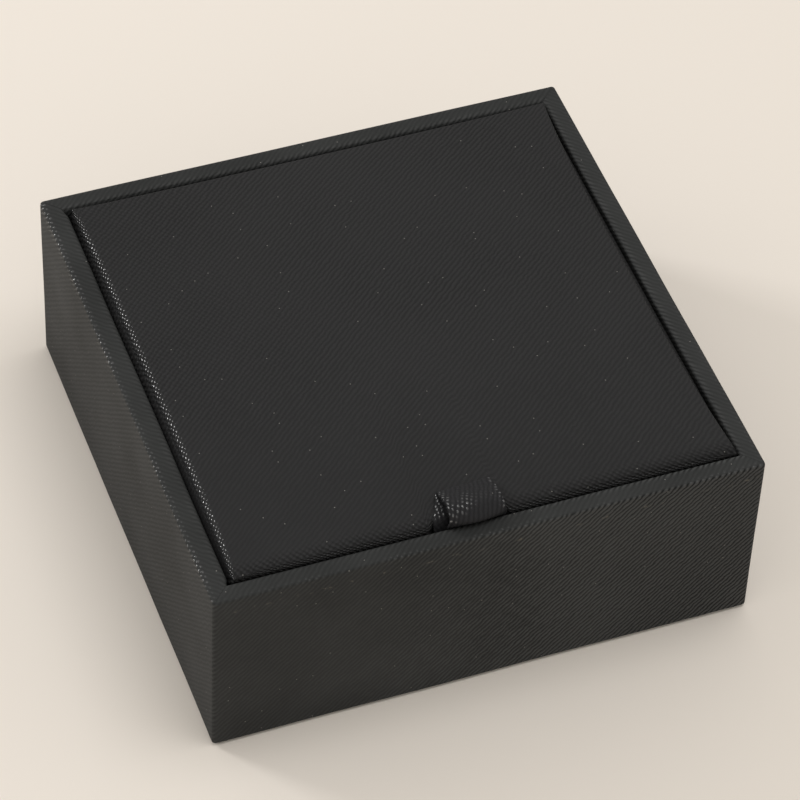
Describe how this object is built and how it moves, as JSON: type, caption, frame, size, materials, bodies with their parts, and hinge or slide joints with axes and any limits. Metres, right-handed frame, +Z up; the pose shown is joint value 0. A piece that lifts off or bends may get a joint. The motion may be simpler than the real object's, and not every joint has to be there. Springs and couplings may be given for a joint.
{
  "type": "travel jewelry box",
  "caption": "Low square leatherette jewelry box; a padded lid drops inside the rim and lifts off by a folded pull tab, over velvet ring rolls and compartments.",
  "frame": {"origin": "middle of the underside, on the surface that the box stands on", "axes": "+Z up, +Y to the back of the box, -Y the front with the pull tab, +X to the right"},
  "size_m": [0.105, 0.105, 0.0446],
  "materials": {
    "leatherette": "black cross-grain embossed leatherette, low sheen",
    "velvet": "black short-pile velvet",
    "base_felt": "black pressed felt",
    "greyboard": "raw greyboard",
    "foam": "open-cell polyurethane foam sheet"
  },
  "bodies": {
    "box": {"base_cover": "base_felt", "base_board": "greyboard", "front_wall_board": "greyboard", "back_wall_board": "greyboard", "left_wall_board": "greyboard", "right_wall_board": "greyboard", "outer_wrap": "leatherette", "front_liner": "velvet", "back_liner": "velvet", "left_liner": "velvet", "right_liner": "velvet", "floor_lining": "velvet", "section_divider": "velvet", "cross_divider_1": "velvet", "cross_divider_2": "velvet", "ring_roll_1": "velvet", "ring_roll_2": "velvet", "ring_roll_3": "velvet", "ring_roll_4": "velvet", "ring_roll_5": "velvet", "ring_roll_6": "velvet"},
    "lid": {"lid_cover": "leatherette", "lid_foam": "foam", "lid_board": "greyboard", "lid_lining": "velvet", "pull_tab_anchor": "leatherette"},
    "tab": {"pull_tab": "leatherette"}
  },
  "joints": [
    {"name": "lid_lift", "type": "slide", "parent": "box", "child": "lid", "axis": [0, 0, 1], "range_m": [0, 0.05]},
    {"name": "tab_flip", "type": "hinge", "parent": "lid", "child": "tab", "pos_m": [-0.0023, -0.0481, 0.04182], "axis": [1, 0, 0], "range_deg": [0, 90]}
  ]
}
